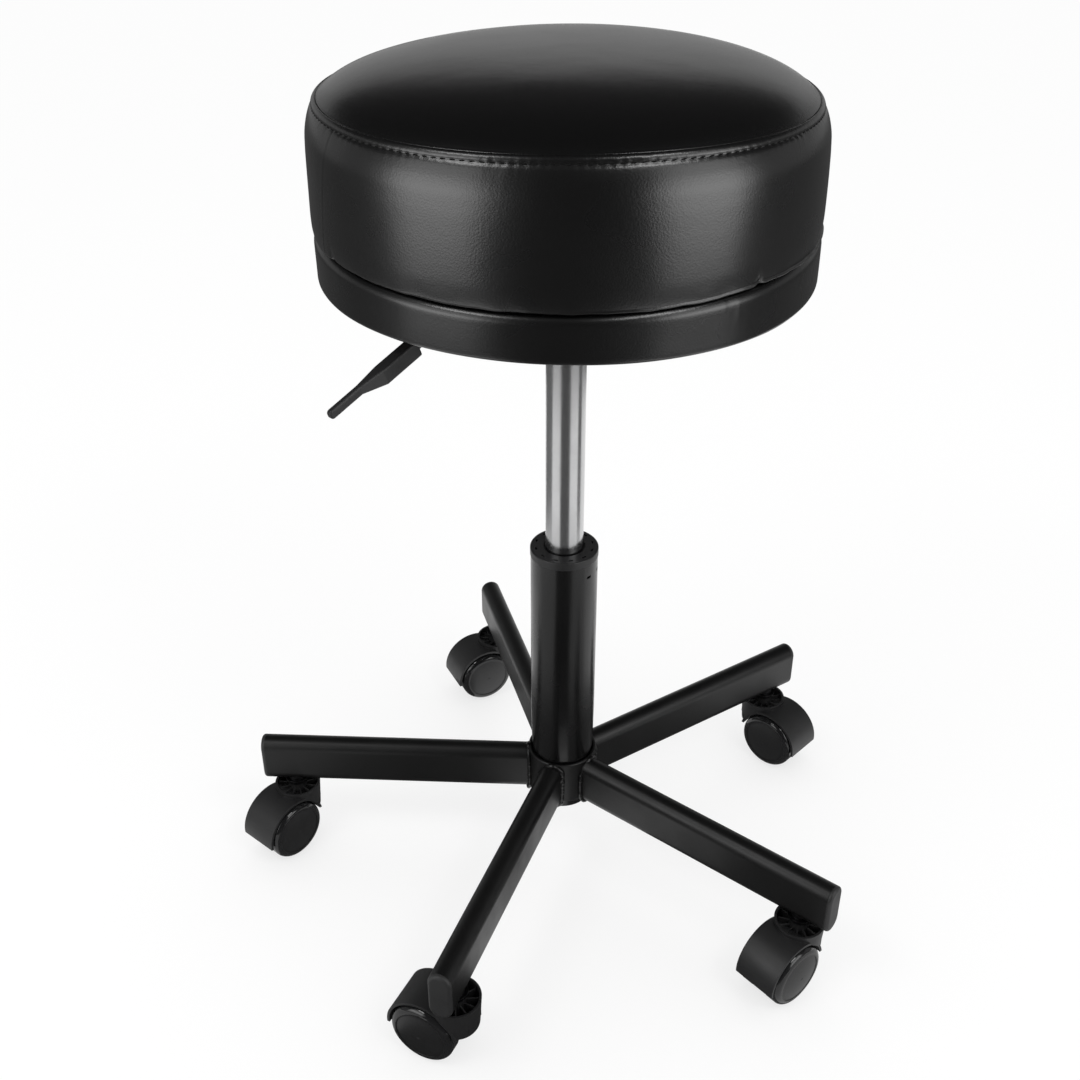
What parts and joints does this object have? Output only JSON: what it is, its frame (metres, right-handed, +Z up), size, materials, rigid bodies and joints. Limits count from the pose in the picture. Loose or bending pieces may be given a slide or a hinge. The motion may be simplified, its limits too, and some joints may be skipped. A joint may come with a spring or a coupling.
{
  "type": "rolling stool",
  "caption": "Round padded stool with a gas lift, steel column, level welded star base, hooded swivel casters and a release lever.",
  "frame": {"origin": "on the floor, under the axis of the column", "axes": "+Z up along the column; -X along the first leg; -Y towards the front of the stool as pictured"},
  "size_m": [0.4917, 0.4756, 0.6481],
  "materials": {
    "seat_vinyl": "black upholstery vinyl over foam, satin",
    "band_vinyl": "black upholstery vinyl over a ring, satin",
    "bright_steel": "bright chromed tube with faint drawing marks",
    "black_steel": "black powder coat, satin",
    "plain_steel": "zinc-plated or ground steel",
    "black_rod_steel": "black coated rod",
    "light_alloy": "turned",
    "cap_plastic": "fine moulded grain",
    "bushing_plastic": "moulded, slightly worn",
    "hood_plastic": "fine moulded grain",
    "wheel_plastic": "gloss shoulder, matte face",
    "lever_plastic": "moulded",
    "cage_plastic": "natural nylon",
    "bumper_rubber": "matte",
    "plywood": "birch plywood",
    "cover_cloth": "thin black non-woven cloth"
  },
  "bodies": {
    "base": {"hub": "black_steel", "leg_1": "black_steel", "leg_2": "black_steel", "leg_3": "black_steel", "leg_4": "black_steel", "leg_5": "black_steel", "leg_end_caps": "cap_plastic", "stem_sockets": "plain_steel", "caster_stems": "plain_steel", "grip_rings": "plain_steel", "outer_column": "black_steel", "column_base": "plain_steel", "guide_bushing": "bushing_plastic", "lower_race": "plain_steel"},
    "lift_rod": {"piston_rod": "plain_steel", "piston_head": "light_alloy", "rubber_bumper": "bumper_rubber", "upper_race": "plain_steel", "bearing_balls": "plain_steel", "ball_cage": "cage_plastic", "rod_washer": "plain_steel", "retaining_clip": "plain_steel"},
    "seat": {"gas_cylinder": "bright_steel", "rod_guide": "light_alloy", "valve_body": "light_alloy", "seat_mount_plate": "plain_steel", "lever_pin": "plain_steel", "mount_screws": "plain_steel", "tee_nuts": "plain_steel", "seat_board": "plywood", "dust_cover": "cover_cloth", "seat_band": "band_vinyl", "seat_cushion": "seat_vinyl"},
    "release_lever": {"lever_rod": "black_rod_steel", "lever_paddle": "lever_plastic"},
    "valve_pin": {"release_pin": "plain_steel"},
    "caster_1": {"hood_1": "hood_plastic", "axle_1": "plain_steel"},
    "wheel_body_1_left": {"wheel_1_left": "wheel_plastic"},
    "wheel_body_1_right": {"wheel_1_right": "wheel_plastic"},
    "caster_2": {"hood_2": "hood_plastic", "axle_2": "plain_steel"},
    "wheel_body_2_left": {"wheel_2_left": "wheel_plastic"},
    "wheel_body_2_right": {"wheel_2_right": "wheel_plastic"},
    "caster_3": {"hood_3": "hood_plastic", "axle_3": "plain_steel"},
    "wheel_body_3_left": {"wheel_3_left": "wheel_plastic"},
    "wheel_body_3_right": {"wheel_3_right": "wheel_plastic"},
    "caster_4": {"hood_4": "hood_plastic", "axle_4": "plain_steel"},
    "wheel_body_4_left": {"wheel_4_left": "wheel_plastic"},
    "wheel_body_4_right": {"wheel_4_right": "wheel_plastic"},
    "caster_5": {"hood_5": "hood_plastic", "axle_5": "plain_steel"},
    "wheel_body_5_left": {"wheel_5_left": "wheel_plastic"},
    "wheel_body_5_right": {"wheel_5_right": "wheel_plastic"}
  },
  "joints": [
    {"name": "seat_swivel", "type": "hinge", "parent": "base", "child": "lift_rod", "pos_m": [0, 0, 0.06], "axis": [0, 0, 1], "continuous": true},
    {"name": "seat_height", "type": "slide", "parent": "lift_rod", "child": "seat", "axis": [0, 0, 1], "range_m": [-0.135, 0]},
    {"name": "lever_pull", "type": "hinge", "parent": "seat", "child": "release_lever", "pos_m": [-0.02158, -0.02363, 0.533], "axis": [-0.7385, 0.6743, 0], "range_deg": [0, 5], "stiffness_Nm_per_rad": 2, "springref_deg": -2.86},
    {"name": "pin_push", "type": "slide", "parent": "seat", "child": "valve_pin", "axis": [0, 0, -1], "range_m": [0, 0.0031]},
    {"name": "caster_1_swivel", "type": "hinge", "parent": "base", "child": "caster_1", "pos_m": [-0.2225, 0, 0.05], "axis": [0, 0, 1], "continuous": true},
    {"name": "wheel_1_left_roll", "type": "hinge", "parent": "caster_1", "child": "wheel_body_1_left", "pos_m": [-0.234, -0.01525, 0.025], "axis": [0.7986, -0.6018, 0], "continuous": true},
    {"name": "wheel_1_right_roll", "type": "hinge", "parent": "caster_1", "child": "wheel_body_1_right", "pos_m": [-0.234, -0.01525, 0.025], "axis": [0.7986, -0.6018, 0], "continuous": true},
    {"name": "caster_2_swivel", "type": "hinge", "parent": "base", "child": "caster_2", "pos_m": [-0.06876, -0.21161, 0.05], "axis": [0, 0, 1], "continuous": true},
    {"name": "wheel_2_left_roll", "type": "hinge", "parent": "caster_2", "child": "wheel_body_2_left", "pos_m": [-0.08623, -0.2039, 0.025], "axis": [-0.4035, -0.915, 0], "continuous": true},
    {"name": "wheel_2_right_roll", "type": "hinge", "parent": "caster_2", "child": "wheel_body_2_right", "pos_m": [-0.08623, -0.2039, 0.025], "axis": [-0.4035, -0.915, 0], "continuous": true},
    {"name": "caster_3_swivel", "type": "hinge", "parent": "base", "child": "caster_3", "pos_m": [0.18001, -0.13078, 0.05], "axis": [0, 0, 1], "continuous": true},
    {"name": "wheel_3_left_roll", "type": "hinge", "parent": "caster_3", "child": "wheel_body_3_left", "pos_m": [0.16622, -0.144, 0.025], "axis": [0.6921, -0.7218, 0], "continuous": true},
    {"name": "wheel_3_right_roll", "type": "hinge", "parent": "caster_3", "child": "wheel_body_3_right", "pos_m": [0.16622, -0.144, 0.025], "axis": [0.6921, -0.7218, 0], "continuous": true},
    {"name": "caster_4_swivel", "type": "hinge", "parent": "base", "child": "caster_4", "pos_m": [0.18001, 0.13078, 0.05], "axis": [0, 0, 1], "continuous": true},
    {"name": "wheel_4_left_roll", "type": "hinge", "parent": "caster_4", "child": "wheel_body_4_left", "pos_m": [0.19427, 0.11808, 0.025], "axis": [0.6652, 0.7466, 0], "continuous": true},
    {"name": "wheel_4_right_roll", "type": "hinge", "parent": "caster_4", "child": "wheel_body_4_right", "pos_m": [0.19427, 0.11808, 0.025], "axis": [0.6652, 0.7466, 0], "continuous": true},
    {"name": "caster_5_swivel", "type": "hinge", "parent": "base", "child": "caster_5", "pos_m": [-0.06876, 0.21161, 0.05], "axis": [0, 0, 1], "continuous": true},
    {"name": "wheel_5_left_roll", "type": "hinge", "parent": "caster_5", "child": "wheel_body_5_left", "pos_m": [-0.08548, 0.20238, 0.025], "axis": [0.4833, -0.8755, 0], "continuous": true},
    {"name": "wheel_5_right_roll", "type": "hinge", "parent": "caster_5", "child": "wheel_body_5_right", "pos_m": [-0.08548, 0.20238, 0.025], "axis": [0.4833, -0.8755, 0], "continuous": true}
  ],
  "couplings": [
    {"joint": "pin_push", "follows": "lever_pull", "m_per_rad": 0.0345}
  ]
}
